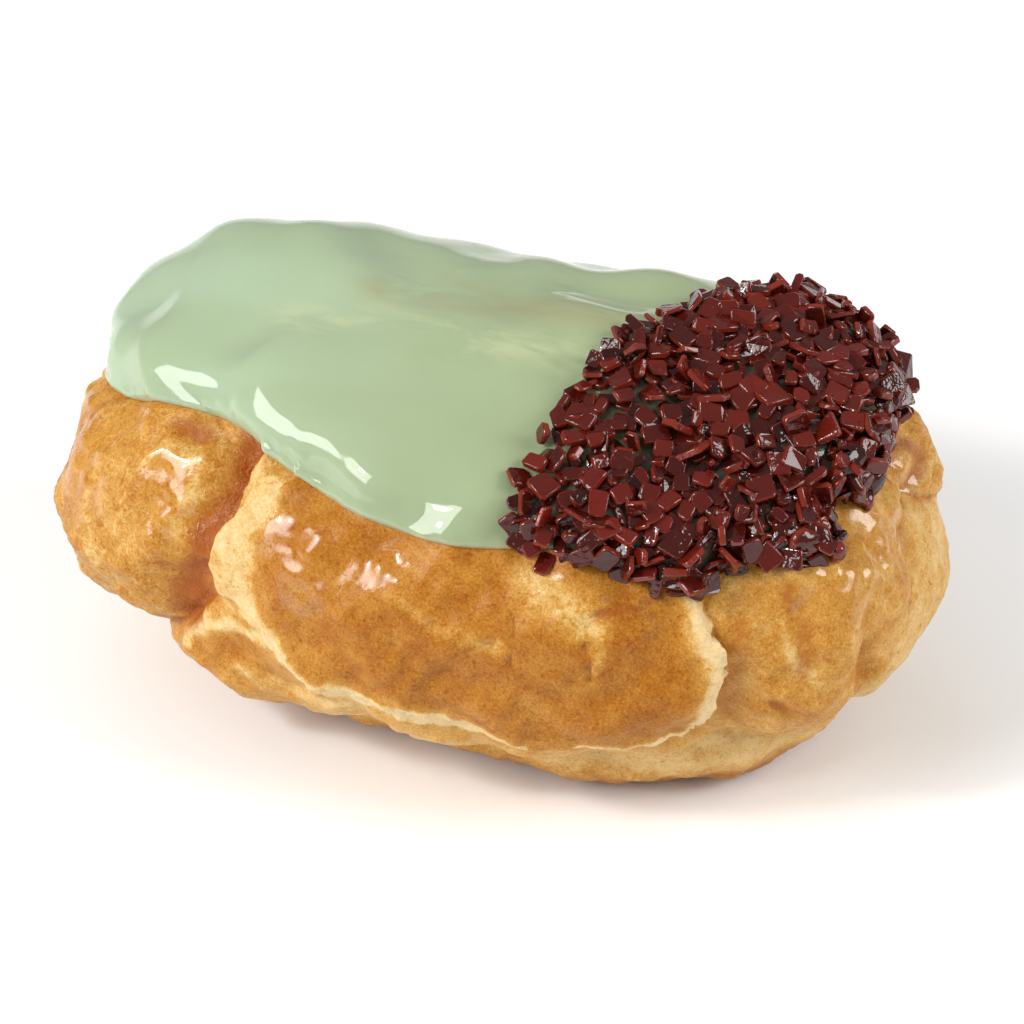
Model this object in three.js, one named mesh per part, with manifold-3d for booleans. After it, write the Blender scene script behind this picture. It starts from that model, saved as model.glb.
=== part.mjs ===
// A glazed cream puff: a long choux bun that has puffed into lobes, its top dipped in pale
// green icing, with broken flakes of chocolate pressed into one end of the icing.
// Millimetres, +Z up. +X runs along the bun to the chocolate end. Z = 0 is the flat underside.
import * as THREE from 'three';
import Module from 'manifold-3d';

const wasm = await Module();
wasm.setup();

// Each skin is measured along rays from the heart of the bun. The ray's two angles are taken
// on an ellipsoid of these half sizes, so that equal steps of angle are nearly equal steps of skin.
const heart = new THREE.Vector3(0, 0, 19);
const halfSize = new THREE.Vector3(50, 34, 25);
const shortestRay = 8;
const longestRay = 75;
const raySteps = 24;

// The lobes of the bun: centre, half sizes, turn about Z in degrees, squareness (2 is an
// ellipsoid) and lean, the shift along X for each millimetre of height.
const lobes = {
  body: { at: [-1, 2.3, 22.2], size: [43.5, 26.2, 20.9], turn: 6, square: 2.15, lean: 0 },
  leftBulb: { at: [-29, -5.2, 22.8], size: [17, 17.5, 14.5], turn: -14, square: 2.25, lean: 0.3 },
  leftBack: { at: [-34.5, 5.5, 25], size: [12, 10.5, 9.5], turn: 0, square: 2, lean: 0 },
  lowerLeft: { at: [-17.8, -10.6, 14], size: [15.5, 14, 11.3], turn: -12, square: 2.3, lean: 0.1 },
  front: { at: [2.8, -9.8, 21], size: [28, 18.8, 15], turn: 4, square: 2.8, lean: -0.1 },
  rightFront: { at: [29.5, -2.5, 21.5], size: [14.5, 17.3, 14.5], turn: 15, square: 2.3, lean: 0 },
  farRight: { at: [35, 5.5, 17.5], size: [11, 14, 12], turn: 0, square: 2.3, lean: 0 },
  farTop: { at: [34, 13, 25], size: [9.5, 8.5, 8.5], turn: 0, square: 2, lean: 0 },
  backLeft: { at: [-25.5, 8.5, 24.3], size: [18, 16, 16.3], turn: 0, square: 2.1, lean: 0 },
  backRight: { at: [21.5, 9, 24.5], size: [17.5, 16.7, 17.5], turn: 0, square: 2.2, lean: 0 },
  backMiddle: { at: [-5, 11.6, 18], size: [20, 17.8, 12.5], turn: -3, square: 2.6, lean: 0 },
  backLow: { at: [-25, 8, 12.5], size: [13, 14.5, 10], turn: 8, square: 2.3, lean: 0 },
  backFar: { at: [24, 8.5, 13.5], size: [14, 16, 11], turn: -8, square: 2.3, lean: 0 },
  foot: { at: [2.5, 0.8, 8], size: [36.5, 21.6, 10.8], turn: -3, square: 2.3, lean: 0 },
};
const crust = { blend: 0.6, creaseDepth: 1.2, creaseWidth: 1.2 };

// The icing: the gap that keeps it clear of the crust, its thickness, how softly it runs over
// the creases below it, the length of its rounded edge, the share of the way to the top where
// that edge ends, the bed under the flakes and the length of crust for a radian of height.
const icing = {
  gap: 0.3,
  thickness: 1.15,
  blend: 2,
  roundEdge: 2.6,
  roundShare: 0.09,
  flakeBed: 0.6,
  perRadian: 30,
};

// Where the dipped edge turns: direction round the bun and height angle, both in degrees.
const dipLine = [
  [0, 36.5], [50, 29], [75, 33], [105, 28], [130, 32], [165, 27], [190, 30],
  [222, 46.5], [275, 40.5], [291, 42], [314, 32.5], [325, 36.5], [338, 34.2], [360, 36.5],
];

// One flake of chocolate: its length, its width as a share of that, its thickness, how uneven
// its corners are and how far it is bent.
const flake = {
  longest: 3.8,
  shortest: 2.4,
  width: [0.6, 0.95],
  thickness: [0.5, 0.85],
  corners: [4, 4, 5],
  skew: 0.22,
  reach: [0.94, 1.2],
  bend: 0.5,
};

// Where the flakes lie: past the slanted line x = start + slant * y, which is ragged, and away
// from the dipped edge. They are tilted by up to the steepest angle, and a higher lieFlat lays
// more of them flat.
const flakes = {
  count: 180,
  tries: 9000,
  spacing: 2.15,
  start: 12.4,
  slant: 0.3,
  ragged: 1.6,
  lowest: 0.3,
  fromEdge: 3.5,
  clearance: 0.5,
  lift: 0.35,
  steepest: THREE.MathUtils.degToRad(50),
  lieFlat: 1.5,
};

// How finely the skins are faceted.
const columns = 76;
const rows = { underside: 3, side: 23, covered: 7, icingEdge: 3, icingTop: 8 };
const undersideAngle = THREE.MathUtils.degToRad(-60);
const topAngle = Math.PI / 2;
const fullTurn = 2 * Math.PI;
const xAxis = new THREE.Vector3(1, 0, 0);
const zAxis = new THREE.Vector3(0, 0, 1);

// A repeatable random draw from 0 to 1.
const draw = { state: 20, factor: 16807, modulus: 2147483647 };

function random() {
  draw.state = (draw.state * draw.factor) % draw.modulus;
  return draw.state / draw.modulus;
}

function between(low, high) {
  return low + (high - low) * random();
}

// How far a point is outside one lobe, in millimetres measured along the lobe's shortest side.
function lobeDepth(point, lobe) {
  const turn = THREE.MathUtils.degToRad(lobe.turn);
  const up = point.z - lobe.at[2];
  const along = point.x - lobe.at[0] - lobe.lean * up;
  const across = point.y - lobe.at[1];
  const x = Math.abs(along * Math.cos(turn) + across * Math.sin(turn)) / lobe.size[0];
  const y = Math.abs(across * Math.cos(turn) - along * Math.sin(turn)) / lobe.size[1];
  const z = Math.abs(up) / lobe.size[2];
  const reach = (x ** lobe.square + y ** lobe.square + z ** lobe.square) ** (1 / lobe.square);
  return (reach - 1) * Math.min(...lobe.size);
}

// The lobes joined: below zero inside the bun. A larger blend fills the creases more.
function bunDepth(point, blend) {
  const depths = Object.values(lobes).map((lobe) => lobeDepth(point, lobe));
  const least = Math.min(...depths);
  const sum = depths.reduce((total, depth) => total + Math.exp((least - depth) / blend), 0);
  return least - blend * Math.log(sum);
}

// Zero where two lobes meet, growing away from the crease between them.
function creaseDistance(point) {
  const depths = Object.values(lobes).map((lobe) => lobeDepth(point, lobe));
  depths.sort((a, b) => a - b);
  return depths[1] - depths[0];
}

function direction(around, height) {
  const level = Math.cos(height);
  return new THREE.Vector3(
    halfSize.x * level * Math.cos(around),
    halfSize.y * level * Math.sin(around),
    halfSize.z * Math.sin(height),
  ).normalize();
}

function pointOnRay(ray, distance) {
  return heart.clone().addScaledVector(ray, distance);
}

// The distance at which a ray leaves the joined lobes, found by halving.
function skinDistance(ray, blend) {
  let inside = shortestRay;
  let outside = longestRay;
  for (let step = 0; step < raySteps; step += 1) {
    const middle = (inside + outside) / 2;
    if (bunDepth(pointOnRay(ray, middle), blend) < 0) inside = middle;
    else outside = middle;
  }
  return inside;
}

// The crust's distance: the lobes with the creases pressed in.
function crustDistance(ray) {
  const distance = skinDistance(ray, crust.blend);
  const away = creaseDistance(pointOnRay(ray, distance));
  return distance - crust.creaseDepth * Math.exp(-away / crust.creaseWidth);
}

function crustPoint(ray) {
  const point = pointOnRay(ray, crustDistance(ray));
  point.z = Math.max(point.z, 0);
  return point;
}

// The height angle of the dipped edge, eased from one turn of the line to the next.
function dipAngle(around) {
  const degrees = THREE.MathUtils.euclideanModulo(THREE.MathUtils.radToDeg(around), 360);
  const next = dipLine.findIndex(([turn]) => turn > degrees);
  const [turnA, heightA] = dipLine[next - 1];
  const [turnB, heightB] = dipLine[next];
  const share = (degrees - turnA) / (turnB - turnA);
  const ease = (1 - Math.cos(Math.PI * share)) / 2;
  return THREE.MathUtils.degToRad(heightA + (heightB - heightA) * ease);
}

// How far past the slanted line a point lies, towards the flakes' end.
function pastFlakeLine(point) {
  return point.x - flakes.start - flakes.slant * point.y;
}

// The icing's inner face follows the crust at the gap.
function icingInnerPoint(ray) {
  return pointOnRay(ray, crustDistance(ray) + icing.gap);
}

// The icing's outer face runs smoothly over the lobes, is thicker under the flakes and
// rounds down to nothing at the dipped edge.
function icingOuterPoint(ray, fromEdge) {
  const inner = crustDistance(ray) + icing.gap;
  const smooth = skinDistance(ray, icing.blend);
  const past = pastFlakeLine(pointOnRay(ray, smooth));
  const bed = icing.flakeBed * THREE.MathUtils.smoothstep(past, -flakes.ragged, flakes.ragged);
  const outer = Math.max(smooth, inner) + icing.thickness + bed;
  const short = 1 - Math.min(fromEdge / icing.roundEdge, 1);
  return pointOnRay(ray, inner + (outer - inner) * Math.sqrt(1 - short * short));
}

// The height angle at a share of the way from the dipped edge to the top.
function coveredHeight(around, share) {
  const edge = dipAngle(around);
  return edge + (topAngle - edge) * share;
}

// About how far a height angle is from the dipped edge, over the crust.
function edgeDistance(around, height) {
  return (height - dipAngle(around)) * icing.perRadian;
}

// Even steps after the first value, up to the last.
function steps(from, to, count) {
  return Array.from({ length: count }, (_, step) => from + ((to - from) * (step + 1)) / count);
}

function ring(pointAt) {
  return Array.from({ length: columns }, (_, column) => pointAt((fullTurn * column) / columns));
}

function geometryFrom(positions, faces) {
  const geometry = new THREE.BufferGeometry();
  geometry.setAttribute('position', new THREE.BufferAttribute(new Float32Array(positions), 3));
  geometry.setIndex(faces);
  return geometry;
}

// Two triangles for four corners, split along the shorter diagonal.
function quadFaces(points, a, b, c, d) {
  const acIsShorter = points[a].distanceTo(points[c]) < points[b].distanceTo(points[d]);
  return acIsShorter ? [a, b, c, a, c, d] : [a, b, d, b, c, d];
}

// A closed skin from a first pole, through rings of points, to a last pole.
function closedSkin(firstPole, rings, lastPole) {
  const points = [firstPole, ...rings.flat(), lastPole];
  const lastIndex = points.length - 1;
  const lastRing = lastIndex - columns;
  const faces = [];
  for (let column = 0; column < columns; column += 1) {
    const next = (column + 1) % columns;
    faces.push(0, 1 + next, 1 + column);
    for (let low = 1; low < lastRing; low += columns) {
      const high = low + columns;
      faces.push(...quadFaces(points, low + column, low + next, high + next, high + column));
    }
    faces.push(lastRing + column, lastRing + next, lastIndex);
  }
  return geometryFrom(points.flatMap((point) => point.toArray()), faces);
}

// Rings under the icing, from just above the dipped edge to just below the top. The bun and
// the icing's inner face share them, so the gap between the two stays even.
function coveredRings(pointFor) {
  const shares = steps(0, 1, rows.covered).slice(0, -1);
  return shares.map((share) => (
    ring((around) => pointFor(direction(around, coveredHeight(around, share))))
  ));
}

function bunGeometry() {
  const underside = steps(-topAngle, undersideAngle, rows.underside).map((height) => (
    ring((around) => crustPoint(direction(around, height)))
  ));
  const side = steps(0, 1, rows.side).map((share) => (
    ring((around) => {
      const height = undersideAngle + (dipAngle(around) - undersideAngle) * share;
      return crustPoint(direction(around, height));
    })
  ));
  const middleOfUnderside = new THREE.Vector3(heart.x, heart.y, 0);
  const top = crustPoint(direction(0, topAngle));
  return closedSkin(middleOfUnderside, [...underside, ...side, ...coveredRings(crustPoint)], top);
}

function icingGeometry() {
  const edge = ring((around) => icingInnerPoint(direction(around, dipAngle(around))));
  const roundShares = steps(0, 1, rows.icingEdge).map((share) => icing.roundShare * share ** 2);
  const topShares = steps(icing.roundShare, 1, rows.icingTop).slice(0, -1);
  const outer = [...roundShares, ...topShares].map((share) => (
    ring((around) => {
      const height = coveredHeight(around, share);
      return icingOuterPoint(direction(around, height), edgeDistance(around, height));
    })
  ));
  const up = direction(0, topAngle);
  const innerTop = icingInnerPoint(up);
  const outerTop = icingOuterPoint(up, icing.roundEdge);
  return closedSkin(innerTop, [...coveredRings(icingInnerPoint).reverse(), edge, ...outer], outerTop);
}

// One flake: a flat bit of chocolate with a few uneven corners, a little bent.
function flakeGeometry(length, width, thickness, corners, bend) {
  const outline = Array.from({ length: corners }, (_, corner) => {
    const angle = (fullTurn * (corner + between(-flake.skew, flake.skew))) / corners;
    const reach = between(...flake.reach) / 2;
    return [Math.cos(angle) * reach * length, Math.sin(angle) * reach * width];
  });
  const layer = (height) => outline.map(([x, y]) => (
    new THREE.Vector3(x, y, height + (bend * x * x) / length)
  ));
  const points = [...layer(-thickness / 2), ...layer(thickness / 2)];
  const faces = [];
  for (let corner = 0; corner < corners; corner += 1) {
    const next = (corner + 1) % corners;
    faces.push(corner, next, corners + next, corner, corners + next, corners + corner);
  }
  for (let corner = 1; corner < corners - 1; corner += 1) {
    faces.push(0, corner + 1, corner);
    faces.push(corners, corners + corner, corners + corner + 1);
  }
  return geometryFrom(points.flatMap((point) => point.toArray()), faces);
}

// The icing's outward direction, from three nearby rays.
function icingNormal(around, height) {
  const nearby = 0.02;
  const pointAt = (a, h) => icingOuterPoint(direction(a, h), icing.roundEdge);
  const here = pointAt(around, height);
  const beside = pointAt(around + nearby, height).sub(here);
  const above = pointAt(around, height + nearby).sub(here);
  return beside.cross(above).normalize();
}

// Random places on the flakes' end of the icing, none nearer than the spacing to another.
function flakePlaces() {
  const places = [];
  for (let attempt = 0; attempt < flakes.tries && places.length < flakes.count; attempt += 1) {
    const around = between(0, fullTurn);
    const height = Math.asin(between(flakes.lowest, 1));
    const point = icingOuterPoint(direction(around, height), icing.roundEdge);
    const isPlace = pastFlakeLine(point) > between(-flakes.ragged, flakes.ragged)
      && edgeDistance(around, height) > flakes.fromEdge
      && places.every((place) => place.point.distanceTo(point) > flakes.spacing);
    if (isPlace) places.push({ point, normal: icingNormal(around, height) });
  }
  return places;
}

function turnAbout(axis, angle) {
  return new THREE.Quaternion().setFromAxisAngle(axis, angle);
}

// A flake laid on its place, spun and tilted at random.
function placedFlake(place, size) {
  const width = size * between(...flake.width);
  const thickness = between(...flake.thickness);
  const corners = flake.corners[Math.floor(random() * flake.corners.length)];
  const geometry = flakeGeometry(size, width, thickness, corners, between(-flake.bend, flake.bend));
  const turn = new THREE.Quaternion().setFromUnitVectors(zAxis, place.normal)
    .multiply(turnAbout(zAxis, between(0, fullTurn)))
    .multiply(turnAbout(xAxis, flakes.steepest * random() ** flakes.lieFlat))
    .multiply(turnAbout(zAxis, between(0, fullTurn)));
  const middle = place.point.clone().addScaledVector(place.normal, flakes.lift);
  geometry.applyQuaternion(turn).translate(middle.x, middle.y, middle.z);
  return geometry;
}

function isClearOfCrust(geometry) {
  const position = geometry.getAttribute('position');
  const corners = Array.from({ length: position.count }, (_, index) => (
    new THREE.Vector3().fromBufferAttribute(position, index)
  ));
  return corners.every((corner) => bunDepth(corner, crust.blend) > flakes.clearance);
}

function solidFrom(geometry) {
  return new wasm.Manifold(new wasm.Mesh({
    numProp: 3,
    vertProperties: geometry.getAttribute('position').array,
    triVerts: new Uint32Array(geometry.getIndex().array),
  }));
}

// The icing with the flakes fused to it, largest first, without those that would reach the
// crust. The largest body is kept, so pockets closed in between flakes are filled.
function icingWithFlakesGeometry() {
  let solid = solidFrom(icingGeometry());
  flakePlaces().forEach((place, index) => {
    const size = flake.longest + (flake.shortest - flake.longest) * (index / flakes.count);
    const geometry = placedFlake(place, size);
    if (isClearOfCrust(geometry)) solid = solid.add(solidFrom(geometry));
  });
  const [largest] = solid.decompose().sort((a, b) => b.volume() - a.volume());
  const mesh = largest.getMesh();
  return geometryFrom(mesh.vertProperties, Array.from(mesh.triVerts));
}

function namedMesh(name, geometry, color, roughness) {
  geometry.computeVertexNormals();
  const material = new THREE.MeshStandardMaterial({ color, roughness, metalness: 0 });
  const mesh = new THREE.Mesh(geometry, material);
  mesh.name = name;
  return mesh;
}

const creamPuff = new THREE.Group();
creamPuff.add(namedMesh('choux_bun', bunGeometry(), 0xd9963f, 0.55));
creamPuff.add(namedMesh('icing', icingWithFlakesGeometry(), 0xb7cfa9, 0.2));

export default creamPuff;
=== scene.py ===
# A glazed cream puff: a long choux bun, its top dipped in pale green icing, with broken flakes
# of dark chocolate over one end. Shapes are worked out in millimetres in the frame's axes.
import math

import bpy
import numpy as np
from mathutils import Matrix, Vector


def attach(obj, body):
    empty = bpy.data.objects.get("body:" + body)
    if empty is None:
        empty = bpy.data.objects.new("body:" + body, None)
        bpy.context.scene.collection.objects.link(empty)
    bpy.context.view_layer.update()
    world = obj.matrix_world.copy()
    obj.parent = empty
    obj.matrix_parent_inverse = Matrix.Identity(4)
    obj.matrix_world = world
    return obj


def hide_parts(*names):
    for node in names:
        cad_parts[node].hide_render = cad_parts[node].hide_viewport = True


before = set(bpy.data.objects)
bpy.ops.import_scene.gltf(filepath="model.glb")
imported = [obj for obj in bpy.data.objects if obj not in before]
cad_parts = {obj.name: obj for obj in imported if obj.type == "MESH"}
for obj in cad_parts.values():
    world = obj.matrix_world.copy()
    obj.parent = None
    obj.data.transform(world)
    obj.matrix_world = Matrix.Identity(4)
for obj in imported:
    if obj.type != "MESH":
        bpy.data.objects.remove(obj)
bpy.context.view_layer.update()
mm = 0.001
fullTurn = 2 * math.pi
farAway = 1e6
bpy.context.scene.view_settings.view_transform = "Standard"


# Shared shapes: random waves, soft steps and meshes.

def waves(points, length, seed, count=26):
    # The sum of sine waves in random directions, their lengths near the given one: about -1 to 1.
    draw = np.random.default_rng(seed)
    direction = draw.normal(size=(3, count))
    lengths = length * draw.uniform(0.7, 1.5, count)
    direction *= fullTurn / lengths / np.linalg.norm(direction, axis=0)
    phase = draw.uniform(0, fullTurn, count)
    total = np.sin(points.reshape(-1, 3) @ direction + phase).sum(axis=1)
    return (total / math.sqrt(2 * count)).reshape(points.shape[:-1])


def waveVector(points, length, seed):
    return np.stack([waves(points, length, seed + axis) for axis in range(3)], axis=-1)


def easeStep(value, low, high):
    # 0 below low, 1 above high, with a smooth S between.
    share = np.clip((value - low) / (high - low), 0, 1)
    return share * share * (3 - 2 * share)


def hump(distance, width):
    # 1 at no distance, and less away from it by exp(-(distance / width)^2).
    return np.exp(-(distance / width) ** 2)


def unit(vectors):
    return vectors / np.maximum(np.linalg.norm(vectors, axis=-1, keepdims=True), 1e-9)


def makePiece(name, points, faces, material, values=None, isSmooth=None):
    # A mesh in metres from points in millimetres, with one float attribute for each entry of values.
    mesh = bpy.data.meshes.new(name)
    mesh.from_pydata((points.reshape(-1, 3) * mm).tolist(), [], faces)
    mesh.validate()
    for key, numbers in (values or {}).items():
        attribute = mesh.attributes.new(key, "FLOAT", "POINT")
        attribute.data.foreach_set("value", numbers.astype(np.float32).ravel())
    mesh.polygons.foreach_set("use_smooth", [True] * len(faces) if isSmooth is None else isSmooth)
    mesh.materials.append(material)
    piece = bpy.data.objects.new(name, mesh)
    bpy.context.collection.objects.link(piece)
    return piece


# Shared helpers for materials.

def linear(red, green, blue):
    # A colour of 0 to 255, as a picture shows it, in the shader's linear values.
    shown = np.array([red, green, blue]) / 255
    value = np.where(shown < 0.04045, shown / 12.92, ((shown + 0.055) / 1.055) ** 2.4)
    return (*value.tolist(), 1.0)


def addNode(tree, kind, inputs=None, **settings):
    made = tree.nodes.new(kind)
    for key, value in settings.items():
        setattr(made, key, value)
    for key, value in (inputs or {}).items():
        if isinstance(value, bpy.types.NodeSocket):
            tree.links.new(value, made.inputs[key])
        else:
            made.inputs[key].default_value = value
    return made


def maths(tree, operation, first, second=0.0, third=0.0):
    inputs = {0: first, 1: second}
    if operation == "MULTIPLY_ADD":
        inputs[2] = third
    return addNode(tree, "ShaderNodeMath", inputs, operation=operation).outputs[0]


def fade(tree, value, low, high, to0=0.0, to1=1.0):
    # The value's place between low and high as a smooth share from to0 to to1.
    return addNode(
        tree, "ShaderNodeMapRange", {0: value, 1: low, 2: high, 3: to0, 4: to1},
        interpolation_type="SMOOTHSTEP",
    ).outputs[0]


def fadeAs(tree, value, look):
    # The value faded in between the look's from and to, up to its share.
    return fade(tree, value, look["from"], look["to"], 0, look.get("share", 1))


def addShare(tree, value, share, amount, less=0.0):
    # value + amount * share - less
    if less:
        value = maths(tree, "ADD", value, -less)
    return maths(tree, "MULTIPLY_ADD", share, amount, value)


def mixColour(tree, share, first, second):
    return addNode(tree, "ShaderNodeMix", {0: share, 6: first, 7: second}, data_type="RGBA").outputs[2]


def setRamp(ramp, stops):
    while len(ramp.elements) < len(stops):
        ramp.elements.new(0.5)
    for element, (position, colour) in zip(ramp.elements, stops):
        element.position = position
        element.color = colour


def grain(tree, place, size, detail=3.0, rough=0.55, bend=0.0):
    # Noise of about the given size in millimetres, from 0 to 1.
    return addNode(tree, "ShaderNodeTexNoise", {
        "Vector": place, "Scale": 1 / (size * mm), "Detail": detail, "Roughness": rough,
        "Distortion": bend,
    }).outputs["Fac"]


def attribute(tree, name):
    return addNode(tree, "ShaderNodeAttribute", attribute_name=name).outputs["Fac"]


def bump(tree, height, depth, below=None):
    # The height, from 0 to 1, pressed as relief of that depth in millimetres, over another bump.
    inputs = {"Height": height, "Distance": depth * mm, "Strength": 1.0}
    if below is not None:
        inputs["Normal"] = below
    return addNode(tree, "ShaderNodeBump", inputs).outputs[0]


def scaled(tree, place, scale):
    return addNode(tree, "ShaderNodeMapping", {"Vector": place, "Scale": scale}).outputs[0]


def newMaterial(name):
    material = bpy.data.materials.new(name)
    material.use_nodes = True
    tree = material.node_tree
    return material, tree, tree.nodes["Principled BSDF"]


def letLightIn(surface, weight, radius):
    # Light scatters below the surface, by a radius in millimetres for red, green and blue.
    surface.inputs["Subsurface Weight"].default_value = weight
    surface.inputs["Subsurface Radius"].default_value = radius
    surface.inputs["Subsurface Scale"].default_value = mm


# Rays leave the bun's heart. Their two angles are taken on an ellipsoid of these half sizes,
# so that equal steps of angle are nearly equal steps of skin.
rayFrame = {"heart": (0, 0, 19), "halfSize": (50, 34, 25), "shortest": 8, "longest": 75, "steps": 18,
            "perRadian": 30}  # the length of crust for a radian of height

# The lobes of the bun: centre, half sizes, turn about Z in degrees, squareness (2 is an
# ellipsoid), lean, the shift along X for each millimetre of height, over, which of two lobes
# lies over the other where they meet, how brown it baked and how crinkled its skin is. What
# a lobe doesn't give is as in plainLobe.
plainLobe = {"turn": 0, "square": 2, "lean": 0}
bunLobes = {
    "body": {"at": (-1, 2.3, 22.2), "size": (43.5, 26.2, 20.9), "turn": 6, "square": 2.15,
             "over": 0.8, "brown": 0.7, "crinkle": 0.3},
    "leftBulb": {"at": (-29, -5.2, 22.8), "size": (17, 17.5, 14.5), "turn": -14, "square": 2.25,
                 "lean": 0.3, "over": 1.6, "brown": 0.74, "crinkle": 0.8},
    "leftBack": {"at": (-34.5, 5.5, 25), "size": (12, 10.5, 9.5),
                 "over": 1.0, "brown": 0.72, "crinkle": 0.75},
    "lowerLeft": {"at": (-17.8, -10.6, 14), "size": (15.5, 14, 11.3), "turn": -12, "square": 2.3,
                  "lean": 0.1, "over": 1.2, "brown": 0.8, "crinkle": 0.3},
    "front": {"at": (2.8, -9.8, 21), "size": (28, 18.8, 15), "turn": 4, "square": 2.8,
              "lean": -0.1, "over": 3.0, "brown": 0.6, "crinkle": 0.15},
    "rightFront": {"at": (29.5, -2.5, 21.5), "size": (14.5, 17.3, 14.5), "turn": 15, "square": 2.3,
                   "over": 1.5, "brown": 0.7, "crinkle": 0.5},
    "farRight": {"at": (35, 5.5, 17.5), "size": (11, 14, 12), "square": 2.3,
                 "over": 0.9, "brown": 0.4, "crinkle": 0.45},
    "farTop": {"at": (34, 13, 25), "size": (9.5, 8.5, 8.5), "over": 1.6, "brown": 0.72, "crinkle": 0.8},
    "backLeft": {"at": (-25.5, 8.5, 24.3), "size": (18, 16, 16.3), "square": 2.1,
                 "over": 1.9, "brown": 0.8, "crinkle": 0.45},
    "backRight": {"at": (21.5, 9, 24.5), "size": (17.5, 16.7, 17.5), "square": 2.2,
                  "over": 2.2, "brown": 0.85, "crinkle": 0.4},
    "backMiddle": {"at": (-5, 11.6, 18), "size": (20, 17.8, 12.5), "turn": -3, "square": 2.6,
                   "over": 2.6, "brown": 0.8, "crinkle": 0.2},
    "backLow": {"at": (-25, 8, 12.5), "size": (13, 14.5, 10), "turn": 8, "square": 2.3,
                "over": 1.0, "brown": 0.6, "crinkle": 0.5},
    "backFar": {"at": (24, 8.5, 13.5), "size": (14, 16, 11), "turn": -8, "square": 2.3,
                "over": 0.7, "brown": 0.62, "crinkle": 0.5},
    "foot": {"at": (2.5, 0.8, 8), "size": (36.5, 21.6, 10.8), "turn": -3, "square": 2.3,
             "over": 0.2, "brown": 0.58, "crinkle": 0.35},
}
bunLobes = {name: {**plainLobe, **lobe} for name, lobe in bunLobes.items()}
heart = np.array(rayFrame["heart"], float)


def direction(around, height):
    # The ray at two angles of the ellipsoid: (cos cos, cos sin, sin) times its half sizes.
    level = np.cos(height)
    spread = np.stack([level * np.cos(around), level * np.sin(around), np.sin(height)], axis=-1)
    return unit(spread * rayFrame["halfSize"])


def lobeDepths(points):
    # For each lobe (|x/a|^s + |y/b|^s + |z/c|^s)^(1/s) - 1 of the turned and leaned offset,
    # times the lobe's shortest half size: about millimetres outside it, below zero inside.
    depths = []
    for lobe in bunLobes.values():
        turn = math.radians(lobe["turn"])
        up = points[..., 2] - lobe["at"][2]
        along = points[..., 0] - lobe["at"][0] - lobe["lean"] * up
        across = points[..., 1] - lobe["at"][1]
        x = np.abs(along * math.cos(turn) + across * math.sin(turn)) / lobe["size"][0]
        y = np.abs(across * math.cos(turn) - along * math.sin(turn)) / lobe["size"][1]
        z = np.abs(up) / lobe["size"][2]
        power = lobe["square"]
        depths.append(((x ** power + y ** power + z ** power) ** (1 / power) - 1) * min(lobe["size"]))
    return np.stack(depths)


def bunDepth(points, blend):
    # The least lobe depth, softened by -blend * log(sum(exp(-depth / blend))).
    depths = lobeDepths(points)
    least = depths.min(axis=0)
    return least - blend * np.log(np.exp((least - depths) / blend).sum(axis=0))


def skinDistance(rays, blend, shift=0.0):
    # Where each ray leaves the joined lobes, found by halving. The shift moves the lobes' field.
    inside = np.full(rays.shape[:-1], float(rayFrame["shortest"]))
    outside = np.full(rays.shape[:-1], float(rayFrame["longest"]))
    for _ in range(rayFrame["steps"]):
        middle = (inside + outside) / 2
        isInside = bunDepth(heart + rays * middle[..., None] + shift, blend) < 0
        inside = np.where(isInside, middle, inside)
        outside = np.where(isInside, outside, middle)
    return inside


# The crust's skin, in millimetres.
crust = {
    "blend": 0.45,            # how much the creases are filled
    "warpLarge": (0.6, 9.0),  # how far the lobes' edges wander, and over what length
    "warpSmall": (0.2, 2.8),
    "bumps": ((0.25, 7.0), (0.06, 2.6)),       # height and length
    "roughBumps": ((0.17, 3.4), (0.13, 1.6)),  # the same where the dough is crinkled
    "roughFrom": (5, 14),     # they grow between these heights over the floor
    "wrinkles": {"depth": 0.22, "length": 2.2, "wide": 0.35, "upright": 0.55},
    "underIcing": {"flatter": 0.85, "from": -1.5, "to": 2.5},
    "foot": {"pale": 0.2, "paleFrom": (13, 8), "brown": 0.45, "brownFrom": (7, 2)},
    "leastCrinkle": 0.1,
    "glossFromCrinkle": 0.2,
    "glossFills": 0.7,        # share of the crinkles that the dried wash fills
    "lowest": -54,            # height angle where the side meets the floor, in degrees
    "pastEdge": 5,            # degrees by which the fine rows run on under the icing
    "columns": 560,
    "rows": {"underside": 8, "side": 150, "covered": 16},
    "denserFront": 0.36,      # share by which the columns crowd towards the camera side
}

# The seams between lobes: how deep and wide they press in, the torn edge's lip, how far the lobe
# beside it lies below, how pale they are, and the painted shade down in them.
seams = {
    "depth": 0.75, "width": 0.8,
    "lip": {"height": 0.35, "crest": 1.0, "width": 1.2},
    "drop": {"depth": 0.9, "reach": 1.7, "wall": 0.5},
    "slopeStep": 0.3, "leastSlope": 0.3,
    "rankReach": 0.5, "fullRank": 1.4,  # how near a lobe counts, and the lead that makes a full lip
    "uneven": {"share": 0.5, "length": 9},
    "paleOver": (2.6, 0.2), "paleUnder": (6, 0.8), "underShare": 0.5,
    "palePatches": {"least": 0.3, "more": 0.6, "length": 12, "between": (-0.4, 0.6)},
    # dark: painted shade at the bottom of each seam, over the browner dough there, less under a lip
    "dark": {"most": 0.8, "width": 0.7, "lessOnLip": 0.75},
}

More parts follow.
